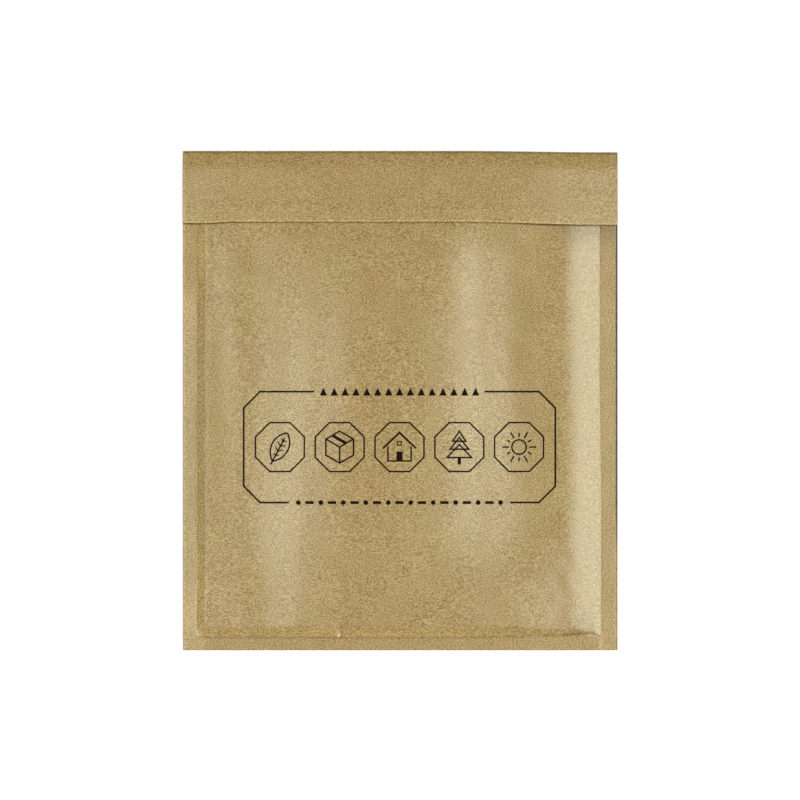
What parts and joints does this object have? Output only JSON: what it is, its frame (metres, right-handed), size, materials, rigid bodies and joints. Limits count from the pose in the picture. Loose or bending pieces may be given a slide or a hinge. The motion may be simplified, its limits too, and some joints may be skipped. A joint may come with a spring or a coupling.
{
  "type": "padded envelope",
  "caption": "Kraft paper mailing envelope lined with bubble film, lying flat with its self-seal flap folded over the front.",
  "frame": {"origin": "centre of the outline, on the plane that the envelope's flat back lies on", "axes": "+Y from the bottom fold to the top fold, +Z out of the front that the flap lies on, +X to the right when the front is looked at with the flap at the top"},
  "size_m": [0.24, 0.276, 0.0069],
  "materials": {
    "kraft_envelope": "smooth recycled kraft with a faint satin sheen",
    "bubble_lining": "clear polyethylene bubble film",
    "adhesive_strip": "tacky hot-melt band",
    "release_strip": "silicone-coated paper, satin"
  },
  "bodies": {
    "root": {"kraft_envelope": "kraft_envelope", "bubble_lining": "bubble_lining", "adhesive_strip": "adhesive_strip", "release_strip": "release_strip"}
  },
  "joints": []
}
